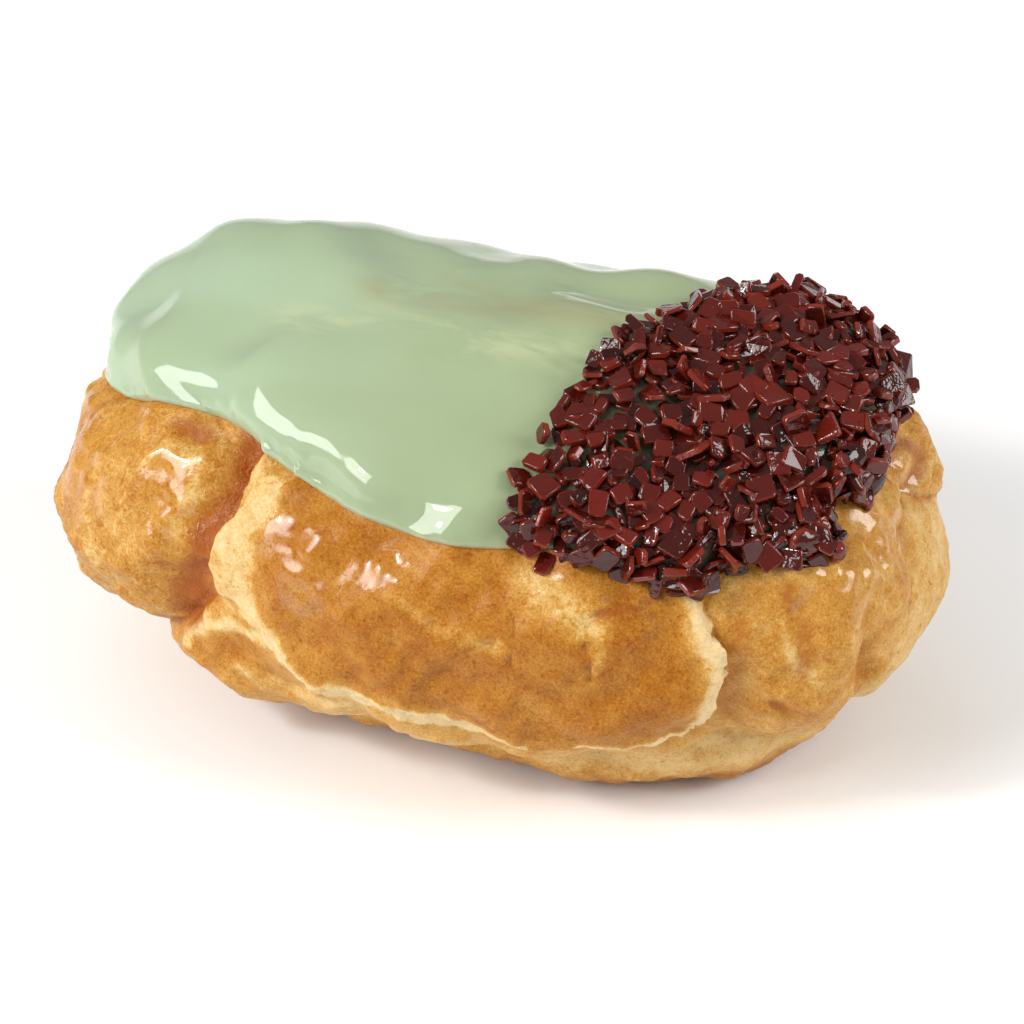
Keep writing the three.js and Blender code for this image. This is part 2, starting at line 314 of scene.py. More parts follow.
# The browned plate on the camera side. Its rim runs from the icing down beside the valley, along
# the foot and up again; each place has how strongly the rim stands over the dough below it, and
# how far the pale dough shows inside and outside it.
plate = {
    "rim": [
        ((-17.5, -21, 33), 0, 2.2, 2.4),
        ((-20, -23.5, 29), 0, 3.0, 2.2),
        ((-20, -25, 23.5), 0, 2.8, 3.0),
        ((-17.8, -26, 21.4), 0.2, 2.2, 1.8),
        ((-14, -27.5, 18.5), 0.6, 1.8, 2.2),
        ((-9.5, -28, 15.8), 0.8, 1.4, 2.3),
        ((-1.5, -28.5, 15.4), 0.8, 1.1, 1.9),
        ((9, -27, 13.3), 0.8, 1.0, 1.0),
        ((19, -25, 13), 0.8, 1.2, 0.9),
        ((26.5, -21, 13.5), 1, 1.6, 0.4),
        ((28.7, -20.3, 16.8), 1.1, 2.4, 0.3),
        ((30.2, -20, 21.5), 1.1, 2.8, 0.3),
        ((28, -19.5, 27.3), 0.9, 2.5, 0.5),
        ((25.2, -18, 31), 0.5, 1.9, 0.8),
    ],
    "blend": 1.3,                 # it runs over the creases of the lobes below it
    "bank": 1.6,                  # and this far past its rim where that doesn't step down
    "wall": (1.0, 2.8),           # how wide its wall is where it steps down, and where it doesn't
    "ridge": {"height": 0.28, "crest": 0.8, "width": 1.0},  # just inside the rim
    "step": {"depth": 0.7, "wall": 0.8, "reach": 2.4},      # outside it
    "brown": 0.84,
    "wander": ((0.4, 4), (0.14, 1.4)),  # how far its rim and the marks wander, over what length
    "cameraSide": (5, 11),
    "nearIcing": {"wider": 1.2, "widerFrom": -4, "goneAt": 3.5},
    "smoother": 0.5,              # its bumps are lower by this share
    "paleRim": {"least": 0.58, "more": 0.37, "uneven": 0.28, "length": 4, "gone": 1.2, "full": 0.2},
    "sideReach": 1.5,             # how near it the seams of the lobes beside it fade
    # a painted shadow on the dough just outside where the rim stands over it: how dark, how far out, how
    # wide
    "rimShadow": {"most": 0.3, "outside": 1.5, "width": 0.7},
    # its pale rim hides the painted shade of the folds by this share
    "paleHidesShade": 0.85,               # its pale rim hides the folds by this share
}

# Marks of their own, each along a path: how deep it is pressed in (a ridge is below zero), its
# width, how pale its torn dough or how dark the painted shade in its fold is, from 0 to 1, and for
# a fold that lies over the skin beside it how far its left side is raised and over what width.
plainMark = {"pale": 0, "dark": 0}
crustMarks = {
    "valley": {
        "path": [(-22, -16, 36), (-22.7, -18.9, 33.5), (-23.2, -21, 31), (-24.8, -22.3, 28),
                 (-25.8, -23, 24), (-26.8, -23, 20), (-28.2, -21.7, 15.5)],
        "depth": 1.5, "width": 2.1, "dark": 1.0},
    "valleyTop": {
        "path": [(-21.5, -15.5, 36.5), (-22.5, -18.5, 34), (-23, -20, 32.5)],
        "depth": 0.6, "width": 1.8, "dark": 1.0},
    "bank": {
        "path": [(-19.6, -18.6, 34.6), (-20.4, -20.6, 32.2), (-21.6, -22.2, 29.6), (-22.6, -23.5, 26.5),
                 (-23, -24, 23), (-21.4, -24.8, 20)],
        "depth": -0.9, "width": 2.1, "pale": 0.5},
    "bankFoot": {
        "path": [(-22.4, -24, 22), (-23.6, -23.8, 19.5), (-25, -23.5, 17.4)],
        "depth": -0.3, "width": 1.3, "pale": 0.55},
    "lowerLeftBase": {
        "path": [(-21.5, -24.3, 11.3), (-16.5, -25.3, 11), (-10.8, -26.9, 12), (-7, -27.9, 12.8)],
        "depth": 0.05, "width": 1.7, "pale": 0.5},
    "bulbPatch": {
        "path": [(-28.5, -22.5, 26.5), (-28, -21.5, 29.5), (-26.5, -20.5, 31), (-26, -19, 33),
                 (-27, -18, 34), (-29, -17, 34), (-31, -17, 33.5), (-33, -18, 32), (-34.5, -19.5, 30)],
        "depth": -0.2, "width": 0.8, "pale": 0.5, "fold": (0.6, 3.0)},
    "bulbHollow": {
        "path": [(-31, -15, 35), (-28.5, -15.5, 35), (-26.5, -16.5, 35)],
        "depth": 0.6, "width": 1.2, "dark": 0.6},
    "bulbLeft": {
        "path": [(-38.5, -20.3, 18.7), (-39.5, -20, 21), (-40, -18.5, 25), (-39.5, -17, 28.5)],
        "depth": 0.1, "width": 0.6, "pale": 0.5, "fold": (0.35, 1.8)},
    "bulbMiddle": {
        "path": [(-33.5, -18.5, 31.2), (-35.5, -20.4, 27.2), (-36, -21, 24.4), (-35, -21.7, 20.7),
                 (-34.3, -21.2, 16.7)],
        "depth": 0.1, "width": 0.6, "pale": 0.45, "fold": (0.32, 2.2)},
    "leftLobe": {
        "path": [(-43, -7.5, 29.5), (-44, -3, 29)],
        "depth": -1.3, "width": 3.0},
    "leftLobeNotch": {
        "path": [(-43.5, -8.5, 29), (-42.5, -10, 29.5), (-41.5, -9, 31), (-39.5, -9, 33)],
        "depth": 0.9, "width": 1.1, "pale": 0.2, "dark": 0.4},
    "lowerLeftTop": {
        "path": [(-27.6, -21.4, 12.5), (-25, -23, 16), (-21, -24.3, 18.2), (-17.3, -26.2, 18.3)],
        "depth": -0.2, "width": 0.9, "pale": 0.7},
    "crackLeft": {
        "path": [(10.1, -26.5, 29.3), (10.5, -27.4, 26.9), (10.9, -27.8, 24.5), (11.9, -27.8, 22.8)],
        "depth": 0.45, "width": 0.4, "pale": 0.25, "dark": 0.42},
    "crackMiddle": {
        "path": [(18.2, -25.8, 27), (17.8, -26.4, 24.7), (18.4, -26.3, 23)],
        "depth": 0.4, "width": 0.35, "pale": 0.25, "dark": 0.5},
    "stretched": {
        "path": [(10.9, -23.7, 32.5), (13.3, -24.6, 31.3), (15.8, -24.9, 30), (17.8, -24.8, 29)],
        "depth": 0.3, "width": 2.0, "pale": 0.64},
    "stretchedArm": {
        "path": [(18.8, -24, 29.8), (21.9, -22, 30.2), (23.4, -20.1, 30.8)],
        "depth": 0.25, "width": 0.8, "pale": 0.3, "dark": 0.6},
    "stretchedHook": {
        "path": [(19.2, -24.2, 29.3), (19, -25.6, 26.5), (18.2, -26.4, 24)],
        "depth": -0.12, "width": 0.6, "pale": 0.5},
    "scaly": {
        "path": [(-1, -28, 28.5), (2, -28, 27.4), (4.5, -28, 26.4), (7, -28, 25.7), (9, -27.8, 25.6)],
        "depth": 0.2, "width": 0.8, "pale": 0.45, "dark": 0.3},
    "besidePlate": {
        "path": [(31.5, -17.5, 30), (32, -19.3, 26), (32, -19.7, 21.5), (31, -18.8, 15)],
        "depth": 0.6, "width": 2.0, "pale": 0.15, "dark": 0.35},
    "rightPatch": {
        "path": [(36, -17.8, 28), (36.5, -18, 25.3), (38.3, -17.4, 22.5), (39.2, -17, 21.6)],
        "depth": 0.1, "width": 0.9, "pale": 0.45},
    "rightValley": {
        "path": [(35.5, -15.5, 31), (37.3, -16.6, 28), (38.3, -17.1, 25.1), (38.2, -17.6, 22.5)],
        "depth": 0.55, "width": 1.5, "dark": 0.45},
    "rightBulge": {
        "path": [(39.6, -12.5, 30.5), (40.4, -13.8, 28), (40.6, -14.8, 24), (39.5, -15.8, 20)],
        "depth": -0.7, "width": 3.0},
    "rightDimple": {
        "path": [(36, -18.2, 18), (36.6, -18, 17.5)],
        "depth": 0.9, "width": 1.1, "dark": 0.7},
    "farRight": {
        "path": [(41.5, -6.4, 31), (43, -7.6, 28), (44, -9, 25), (43.7, -10.6, 22.7),
                 (43.4, -11.3, 19.8)],
        "depth": 0.5, "width": 0.9, "pale": 0.35, "dark": 0.2, "fold": (-0.2, 1.6)},
    "farRightNotch": {
        "path": [(43.6, -11.2, 20.5), (43, -10.8, 16), (41.5, -10, 12)],
        "depth": 2.4, "width": 1.8, "dark": 0.4},
    "rimPits": {
        "path": [(-13.6, -27.6, 18.6), (-12.9, -27.6, 16.8)],
        "depth": 0.5, "width": 0.5, "dark": 0.8},
    "farTop": {
        "path": [(38.4, 7.8, 32.4), (40.2, 11.5, 31.4), (42.2, 12.4, 29.3), (42.3, 8.2, 27.8)],
        "depth": 0.5, "width": 1.2, "pale": 0.4, "dark": 0.6},
    "farTopNotch": {
        "path": [(43.6, 13, 26.5), (43.6, 11.5, 25.5)],
        "depth": 0.9, "width": 1.2, "dark": 0.4},
}
crustMarks = {name: {**plainMark, **mark} for name, mark in crustMarks.items()}

# Where the egg wash dried in glossy patches: centre and reach.
glossSpots = [
    ((-29.5, -19.5, 32.5), 3.2), ((-29.5, -22, 28), 2.2), ((-41, -15.5, 26.5), 4.5),
    ((-43.5, -8.5, 28), 3.0), ((-37, -13, 33), 2.5), ((-14.5, -24, 31.3), 2.6), ((-10, -26, 30.5), 3.0),
    ((-4, -26, 32), 2.5), ((-12, -27.5, 27), 2.6), ((36, -13, 32), 3.2), ((40, -7, 32), 3.2),
    ((14, -24, 31.5), 2.0), ((42, 8, 29), 2.5), ((40.2, -13.4, 29), 3.4), ((41.2, -6.1, 31.6), 3.0),
    ((43, 1, 28), 2.4), ((-20, 24, 28), 4.0), ((12, 27, 27), 4.0), ((28, 24, 28), 3.0),
]

# Where the whole top sags, or swells if below zero, crust and icing alike.
sags = [
    {"path": [(8, 14, 43), (22, 12, 43)], "depth": 0.9, "width": 9.5},
    {"path": [(-29, 9, 42), (-21, 12, 43)], "depth": -0.8, "width": 7.0},
]


def lineDistance(points, path):
    # The distance from a bent line: the least over its straight parts of |p - a - t (b - a)|,
    # with t the nearest place on that part, kept from 0 to 1.
    nearest = np.full(points.shape[:-1], farAway)
    for start, end in zip(np.array(path[:-1], float), np.array(path[1:], float)):
        along = end - start
        place = np.clip((points - start) @ along / (along @ along), 0, 1)
        apart = np.linalg.norm(points - start - place[..., None] * along, axis=-1)
        nearest = np.minimum(nearest, apart)
    return nearest


def sideOfLine(points, path):
    # Of the nearest part of a bent line: the distance, above zero on its left as seen from
    # outside the bun; the same measured square to that part; and the place along the line. Left
    # is where (p - a) . ((p - heart) x (b - a)) is above zero.
    nearest = np.full(points.shape[:-1], farAway)
    square = np.zeros(points.shape[:-1])
    place = np.zeros(points.shape[:-1])
    corners = np.array(path, float)
    for index, (start, end) in enumerate(zip(corners[:-1], corners[1:])):
        along = end - start
        share = np.clip((points - start) @ along / (along @ along), 0, 1)
        apart = np.linalg.norm(points - start - share[..., None] * along, axis=-1)
        left = np.sum((points - start) * unit(np.cross(points - heart, along)), axis=-1)
        isNearer = apart < np.abs(nearest)
        nearest = np.where(isNearer, np.where(left > 0, apart, -apart), nearest)
        square = np.where(isNearer, left, square)
        place = np.where(isNearer, index + share, place)
    return nearest, square, place


def sagDepth(points):
    # How far the top lies lower at each point: depth * exp(-(distance from the path / width)^2).
    return sum(sag["depth"] * hump(lineDistance(points, sag["path"]), sag["width"]) for sag in sags)


def warp(rays, key, seed):
    reach, length = crust[key]
    return reach * waveVector(heart + rays * skinDistance(rays, 1.0)[..., None], length, seed)


def seamRelief(points, shift, depths):
    # Between two lobes the seam is signed, s above zero on the one that lies over: it has a lip,
    # height * exp(-((s - crest) / width)^2), and the other one drops below it. All seams press
    # in by depth * exp(-|s| / width). Gives the relief, how pale the dough is and how dark: the
    # dark is painted shade down in the seam, over the browner dough there.
    order = np.argsort(depths, axis=0)[:2]
    first, second = np.take_along_axis(depths, order, axis=0)

    # the difference of two lobes' depths, made millimetres along the skin by its slope there
    step = seams["slopeStep"]
    slopes = np.stack([
        (np.take_along_axis(lobeDepths(points + shift + step * axis), order, axis=0)
         - np.stack([first, second])) / step for axis in np.eye(3)
    ], axis=-1)
    outward = unit(slopes[0])
    across = slopes[0] - slopes[1]
    across = across - outward * np.sum(across * outward, axis=-1, keepdims=True)
    away = (second - first) / np.maximum(np.linalg.norm(across, axis=-1), seams["leastSlope"])

    # the owner's rank against that of its near neighbours, weighed by exp(-(depth - second) / reach)
    over = np.array([lobe["over"] for lobe in bunLobes.values()])
    weight = np.exp(-(depths - second) / seams["rankReach"])
    np.put_along_axis(weight, order[:1], 0.0, axis=0)
    rank = over[order[0]] - np.tensordot(over, weight, axes=1) / weight.sum(axis=0)
    size = np.clip(np.abs(rank) / seams["fullRank"], 0, 1)
    uneven = 1 + seams["uneven"]["share"] * waves(points, seams["uneven"]["length"], 31)
    seam = away * np.sign(rank)
    lip, drop = seams["lip"], seams["drop"]
    raised = lip["height"] * hump(seam - lip["crest"], lip["width"])
    lowered = drop["depth"] * np.exp(-np.maximum(-seam, 0) / drop["reach"])
    lowered = lowered * easeStep(-seam, -drop["wall"], drop["wall"])
    relief = size * uneven * (raised - lowered)
    relief -= seams["depth"] * uneven * np.exp(-away / seams["width"])

    onOver = easeStep(seam, *seams["paleOver"])
    onUnder = seams["underShare"] * easeStep(-seam, *seams["paleUnder"])
    patches = seams["palePatches"]
    pale = size * np.where(seam > 0, onOver, onUnder)
    inPatch = easeStep(waves(points, patches["length"], 33), *patches["between"])
    pale *= patches["least"] + patches["more"] * inPatch
    # painted shade down in the seam, less where a lip stands over it
    seamShade = seams["dark"]
    dark = seamShade["most"] * hump(away, seamShade["width"]) * (1 - seamShade["lessOnLip"] * size)
    return relief, pale, dark


def plateRim(wander, points, fromEdge):
    # The plate's rim: the distance inside it, how strongly it stands there, how far the pale
    # dough shows inside it, how pale it is, the camera side, and where the plate's skin is.
    rows = plate["rim"]
    inside, _, place = sideOfLine(wander, [row[0] for row in rows])
    stands, paleInside, paleOutside = (
        np.interp(place, range(len(rows)), [row[column] for row in rows]) for column in (1, 2, 3)
    )
    isCameraSide = easeStep(-points[..., 1], *plate["cameraSide"])
    slope = 1 - np.clip(stands, 0, 1)
    near = plate["nearIcing"]
    wall = plate["wall"][0] + (plate["wall"][1] - plate["wall"][0]) * slope
    wall = wall * (1 + near["wider"] * easeStep(fromEdge, near["widerFrom"], 0))
    onPlate = easeStep((inside + slope * plate["bank"]) / wall, -1, 1) * isCameraSide
    onPlate *= easeStep(fromEdge, near["goneAt"], 0)
    paleRim = plate["paleRim"]
    paleInside = paleInside * (1 + paleRim["uneven"] * waves(points, paleRim["length"], 35))
    rimPale = np.where(
        inside > 0, easeStep(inside, paleRim["gone"] * paleInside, paleRim["full"] * paleInside),
        easeStep(np.maximum(-inside, 0), paleOutside + 0.5, 0.7 * paleOutside),
    )
    return inside, stands, paleInside, rimPale, isCameraSide, onPlate


def crustDistance(rays, detail=False):
    # The warped lobes' skin and its seams. The front plate is a softer skin over the seams, with
    # a ridge inside its rim and a step outside it. Marks, bumps and wrinkles are added.
    shift = warp(rays, "warpLarge", 11) + warp(rays, "warpSmall", 21)
    distance = skinDistance(rays, crust["blend"], shift)
    points = heart + rays * distance[..., None]
    depths = lobeDepths(points + shift)
    fromEdge = edgeDistance(rays)
    relief, pale, dark = seamRelief(points, shift, depths)

    # the plate's own skin and rim, in place of the seams beside and under it
    (longBend, longLength), (shortBend, shortLength) = plate["wander"]
    wander = points + longBend * waveVector(points, longLength, 51)
    wander = wander + shortBend * waveVector(points, shortLength, 57)
    inside, stands, paleInside, rimPale, isCameraSide, onPlate = plateRim(wander, points, fromEdge)
    behind = depths[list(bunLobes).index("front")] - depths.min(axis=0)
    besidePlate = np.maximum(onPlate, isCameraSide * np.exp(-behind / plate["sideReach"]))
    distance = distance + (skinDistance(rays, plate["blend"], shift) - distance) * onPlate
    relief *= 1 - besidePlate
    pale *= 1 - besidePlate
    dark *= 1 - besidePlate
    ridge, step = plate["ridge"], plate["step"]
    stepped = step["depth"] * np.exp(-np.maximum(-inside, 0) / step["reach"])
    stepped = stepped * easeStep(-inside, -step["wall"], 2 * step["wall"])
    ridged = ridge["height"] * hump(inside - ridge["crest"], ridge["width"])
    relief += stands * isCameraSide * (ridged - stepped)
    paleRim, rimShadow = plate["paleRim"], plate["rimShadow"]
    howPale = paleRim["least"] + paleRim["more"] * np.clip(stands, 0, 1)
    pale = np.maximum(pale, howPale * rimPale * isCameraSide)
    # painted shadow just outside the rim, where it stands over the dough below
    howShaded = rimShadow["most"] * stands * isCameraSide
    dark = np.maximum(dark, howShaded * hump(inside + rimShadow["outside"], rimShadow["width"]))

    # each mark: its relief, its pale torn dough, and painted shade down in it where it is dark
    for mark in crustMarks.values():
        apart, square, _ = sideOfLine(wander, mark["path"])
        near = hump(apart, mark["width"])
        relief -= mark["depth"] * near
        if "fold" in mark:
            height, reach = mark["fold"]
            relief += height * np.tanh(square / 0.5) * hump(apart, reach)
        pale = np.maximum(pale, mark["pale"] * hump(apart, 1.3 * mark["width"]))
        dark = np.maximum(dark, mark["dark"] * near)
    # the plate's pale rim takes off most of the painted shade there
    dark *= 1 - plate["paleHidesShade"] * rimPale * isCameraSide

    # how brown and crinkled: of the lobes, weighed by exp(-depth over the least), and of the plate
    weight = np.exp(depths.min(axis=0) - depths)
    brown, crinkle = (
        np.tensordot([lobe[key] for lobe in bunLobes.values()], weight, axes=1) / weight.sum(axis=0)
        for key in ("brown", "crinkle")
    )
    onBrown = easeStep(inside, 0.2 * paleInside, 0.8 + 1.5 * paleInside) * isCameraSide
    brown = brown + (plate["brown"] - brown) * onBrown
    foot, level = crust["foot"], points[..., 2]
    brown = brown - foot["pale"] * easeStep(level, *foot["paleFrom"])
    brown = brown + foot["brown"] * easeStep(level, *foot["brownFrom"])
    crinkle = np.clip(np.maximum(crinkle * (1 - onPlate), pale + dark), crust["leastCrinkle"], 1)
    gloss = sum(
        np.exp(-np.sum((points - spot) ** 2, axis=-1) / reach ** 2) for spot, reach in glossSpots
    )
    gloss = np.minimum(gloss + crust["glossFromCrinkle"] * crinkle, 1)
    crinkle = crinkle * (1 - crust["glossFills"] * gloss)

    for index, (height, length) in enumerate(crust["bumps"]):
        relief += height * (1 - plate["smoother"] * onPlate) * waves(points, length, 41 + index)
    aboveFoot = easeStep(level, *crust["roughFrom"])
    for index, (height, length) in enumerate(crust["roughBumps"]):
        relief += height * crinkle * aboveFoot * waves(points, length, 45 + index)
    # wrinkles: creases where a wave passes zero, min(|wave| / wide, 1) - 1, drawn out upright
    wrinkles = crust["wrinkles"]
    upright = wander * (1, 1, wrinkles["upright"])
    folds = np.minimum(np.abs(waves(upright, wrinkles["length"], 49)) / wrinkles["wide"], 1) - 1
    relief += wrinkles["depth"] * crinkle * folds
    under = crust["underIcing"]
    relief *= 1 - under["flatter"] * easeStep(fromEdge, under["from"], under["to"])
    distance = distance + relief - sagDepth(points)
    if not detail:
        return distance
    # dark carries painted shade in seams, folds, hollows and under the plate's rim, over the browner
    # dough in the creases
    looks = {"pale": pale, "dark": dark, "brown": brown, "crinkle": crinkle, "gloss": gloss}
    return distance, looks


def dipAngle(around):
    # The height angle of the dipped edge: eased by a cosine from one turn of the line to the next.
    degrees = np.degrees(np.mod(around, fullTurn))
    turns, heights = np.array(dipLine, float).T
    after = np.clip(np.searchsorted(turns, degrees, side="right"), 1, len(turns) - 1)
    share = (degrees - turns[after - 1]) / (turns[after] - turns[after - 1])
    ease = (1 - np.cos(math.pi * share)) / 2
    return np.radians(heights[after - 1] + (heights[after] - heights[after - 1]) * ease)


# Where the dipped edge turns: direction round the bun and height angle, both in degrees.
dipLine = [
    (0, 37.5), (15, 36), (50, 29), (75, 33), (105, 28), (130, 32), (165, 27), (190, 30),
    (222, 46.5), (275, 40.5), (291, 42), (314, 32.5), (323, 36.5), (335, 33.5), (346, 40.5), (360, 37.5),
]


def aroundOf(rays):
    # The direction of a ray round the bun, from 0 to a full turn: the inverse of direction().
    spread = rays / rayFrame["halfSize"]
    return np.mod(np.arctan2(spread[..., 1], spread[..., 0]), fullTurn)


def edgeDistance(rays):
    # How far a ray lies above the dipped edge, over the crust: below zero on the bare side.
    height = np.arcsin(unit(rays / rayFrame["halfSize"])[..., 2])
    return (height - dipAngle(aroundOf(rays))) * rayFrame["perRadian"]


def crustPiece(material):
    # A closed skin in rings: a pole on the floor, the underside, the side up to the dipped
    # edge, and the covered top. Columns crowd to the front: around = t - k * sin(t - 270 deg).
    columns, rows = crust["columns"], crust["rows"]
    t = np.arange(columns) * fullTurn / columns
    around = t - crust["denserFront"] * np.sin(t - 1.5 * math.pi)
    edge = dipAngle(around)
    floorAngle, pole = math.radians(crust["lowest"]), math.pi / 2
    underside = np.linspace(-pole, floorAngle, rows["underside"] + 1)[1:, None] + 0 * edge
    sideShare = np.linspace(0, 1, rows["side"] + 1)[1:, None]
    side = floorAngle + (edge + math.radians(crust["pastEdge"]) - floorAngle) * sideShare
    topShare = np.linspace(0, 1, rows["covered"] + 1)[1:-1, None]
    covered = side[-1] + (pole - side[-1]) * topShare
    height = np.concatenate([underside, side, covered])
    rays = direction(np.broadcast_to(around, height.shape), height)
    distance, looks = crustDistance(rays, detail=True)
    points = heart + rays * distance[..., None]
    points[..., 2] = np.maximum(points[..., 2], 0)
    up = direction(np.zeros(1), np.full(1, pole))
    topPole = heart + up * crustDistance(up)[..., None]
    floorPole = np.array([[heart[0], heart[1], 0.0]])

    ring = np.arange(columns)
    following = np.roll(ring, -1)
    low = (np.arange(len(height) - 1) * columns)[:, None] + 1
    quads = np.stack([low + ring, low + following, low + columns + following, low + columns + ring], -1)
    last = (len(height) - 1) * columns + 1
    top = last + columns
    faces = quads.reshape(-1, 4).tolist()
    faces += np.stack([np.zeros(columns, int), 1 + following, 1 + ring], -1).tolist()
    faces += np.stack([last + ring, last + following, np.full(columns, top)], -1).tolist()
    allPoints = np.concatenate([floorPole, points.reshape(-1, 3), topPole])
    values = {key: np.concatenate([[0.0], number.ravel(), [0.0]]) for key, number in looks.items()}
    return makePiece("crust", allPoints, faces, material, values)


# From the palest dough to the brownest crust, and the two laid over them: painted crease shade and
# specks.
crustColours = {
    "baked": [
        (0.0, linear(224, 197, 147)), (0.3, linear(213, 176, 111)), (0.55, linear(193, 140, 59)),
        (0.8, linear(168, 105, 25)), (1.0, linear(140, 72, 8)),
    ],
    # fold: painted shade in the creases and hollows, over the browner dough there
    "fold": linear(156, 80, 19),
    "speck": linear(110, 50, 16),
}
# The crust's finish. Each noise has its size in millimetres, its detail, roughness and distortion,
# each pattern how much it browns and how much is taken off again, and relief is its depth.
crustFinish = {
    "broad": {"noise": (14, 2), "browns": 0.3, "less": 0.15},
    "patches": {"noise": (2.6, 3, 0.55), "browns": 0.42, "less": 0.23, "relief": 0.24},
    "crinkled": {"middle": 0.52, "browns": 0.45},
    "mottle": {"noise": (0.24, 3, 0.65), "browns": 0.7, "less": 0.38, "relief": 0.25},
    "freckles": {"noise": (0.5, 2, 0.5), "from": 0.52, "to": 0.68, "browns": 0.1},
    "wrinkled": {"noise": (0.95, 3, 0.55, 0.35), "wide": 0.11, "browns": -0.22, "relief": 0.4},
    "torn": {"noise": (1.1, 5, 0.7), "ragged": 0.8, "from": 0.1, "to": 0.9, "browns": -0.54},
    "folds": {"ragged": 0.6, "from": 0.12, "to": 0.7, "share": 0.92},
    "specks": {"noise": (0.5, 1, 0.4), "from": 0.76, "to": 0.8, "share": 0.5},
    "shine": {"noise": (1.4, 4, 0.65, 0.6), "drawnOut": (1, 1, 0.5), "ragged": 1.3,
              "from": 0.35, "to": 0.5, "fills": 0.85},
    "roughness": {"noise": (3.0, 3, 0.6), "from": 0.4, "to": 0.62, "rough": 0.5, "smooth": 0.38,
                  "crinkled": -0.12, "shiny": -0.24},
    "specular": {"plain": 0.36, "least": 0.26, "shiny": 0.45},
    "leastRelief": 0.1,
    "fineRelief": 0.17,
    "bends": 1.45,  # the IOR
    "lightIn": (0.15, (1.2, 0.7, 0.3)),
}


def crustMaterial():
    material, tree, surface = newMaterial("baked choux crust")
    place = addNode(tree, "ShaderNodeTexCoord").outputs["Object"]
    pale, dark, brown, crinkle, gloss = (
        attribute(tree, name) for name in ("pale", "dark", "brown", "crinkle", "gloss")
    )
    look = crustFinish
    pattern = {
        key: grain(tree, place, *look[key]["noise"])
        for key in ("broad", "patches", "mottle", "freckles", "wrinkled", "torn", "specks", "roughness")
    }
    pattern["freckles"] = fadeAs(tree, pattern["freckles"], look["freckles"])
    # wrinkles: thin lines where a noise passes its middle
    fromMiddle = maths(tree, "ABSOLUTE", maths(tree, "ADD", pattern["wrinkled"], -0.5))
    wrinkles = fade(tree, fromMiddle, 0.0, look["wrinkled"]["wide"], 1, 0)
    pattern["wrinkled"] = maths(tree, "MULTIPLY", wrinkles, crinkle)
    overMiddle = maths(tree, "ADD", pattern["patches"], -look["crinkled"]["middle"])
    pattern["crinkled"] = maths(tree, "MULTIPLY", overMiddle, crinkle)

    # how brown it baked: by lobe, in broad and small patches, with fine mottling
    baked = brown
    for key in ("broad", "patches", "crinkled", "mottle", "freckles", "wrinkled"):
        baked = addShare(tree, baked, pattern[key], look[key]["browns"], look[key].get("less", 0))
    # the dough that tore open late stays pale, with a ragged edge
    torn, folds = look["torn"], look["folds"]
    isTorn = addShare(tree, pale, pattern["torn"], torn["ragged"], torn["ragged"] / 2)
    baked = addShare(tree, baked, fadeAs(tree, isTorn, torn), torn["browns"])
    colour = addNode(tree, "ShaderNodeValToRGB", {"Fac": baked})
    setRamp(colour.color_ramp, crustColours["baked"])
    colour = colour.outputs["Color"]
    # painted shade: the fold colour where the dark mask is high, with a ragged edge
    foldShade = addShare(tree, dark, pattern["torn"], folds["ragged"], folds["ragged"] / 2)
    colour = mixColour(tree, fadeAs(tree, foldShade, folds), colour, crustColours["fold"])
    isSpeck = fadeAs(tree, pattern["specks"], look["specks"])
    colour = mixColour(tree, isSpeck, colour, crustColours["speck"])
    tree.links.new(colour, surface.inputs["Base Color"])

    # glossy where the wash dried thick, in patches drawn out upright
    shine, rough, specular = look["shine"], look["roughness"], look["specular"]
    washed = grain(tree, scaled(tree, place, shine["drawnOut"]), *shine["noise"])
    shiny = addShare(tree, gloss, washed, shine["ragged"], shine["ragged"] / 2)
    shiny = fadeAs(tree, shiny, shine)
    roughness = fade(
        tree, pattern["roughness"], rough["from"], rough["to"], rough["rough"], rough["smooth"]
    )
    roughness = addShare(tree, roughness, crinkle, rough["crinkled"])
    tree.links.new(addShare(tree, roughness, shiny, rough["shiny"]), surface.inputs["Roughness"])
    surface.inputs["Specular IOR Level"].default_value = specular["plain"]
    level = addShare(tree, specular["least"], shiny, specular["shiny"])
    tree.links.new(level, surface.inputs["Specular IOR Level"])

    # the relief is less on the smooth plate, and the wash filled it where it is shiny
    uneven = maths(tree, "MULTIPLY_ADD", crinkle, 1 - look["leastRelief"], look["leastRelief"])
    skin = bump(tree, maths(tree, "MULTIPLY", pattern["patches"], uneven), look["patches"]["relief"])
    fine = maths(tree, "MULTIPLY", pattern["wrinkled"], look["wrinkled"]["relief"])
    fine = addShare(tree, fine, pattern["mottle"], look["mottle"]["relief"])
    unfilled = maths(tree, "MULTIPLY_ADD", shiny, -shine["fills"], 1.0)
    skin = bump(tree, maths(tree, "MULTIPLY", fine, unfilled), look["fineRelief"], skin)
    tree.links.new(skin, surface.inputs["Normal"])
    surface.inputs["IOR"].default_value = look["bends"]
    letLightIn(surface, *look["lightIn"])
    return material


crustObject = crustPiece(crustMaterial())
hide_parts("choux_bun")
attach(crustObject, "root")
print("crust", len(crustObject.data.polygons), "faces")


# The icing, in millimetres.
icing = {
    "thickness": 0.9,
    "blend": 2.6,            # how softly it runs over the creases
    "least": 0.35,           # its least thickness over the crust
    "round": 0.5,            # how softly it comes off the bun's highest places
    "edge": [  # height of its rounded edge by direction round the bun, in degrees
        (0, 0.7), (180, 0.8), (200, 0.8), (222, 0.7), (238, 0.5), (255, 0.32), (290, 0.32),
        (315, 0.6), (360, 0.7),
    ],
    "rounding": 0.9,         # the length over which the edge rounds
    "thinning": 8.0,         # length over which it then thickens
    "rise": 6.5,             # length over which its base leaves the crust for the soft skin
    "sunk": 0.15,            # its inner face lies this far inside the crust, so no gap shows
    "pour": ((0.18, 20), (0.1, 12)),  # height and length of the waves left by pouring
    "pourStretch": (0.7, 1, 1),       # drawn out along X
    "flakeBed": 0.4,
    "across": 224,
    "along": 200,
}
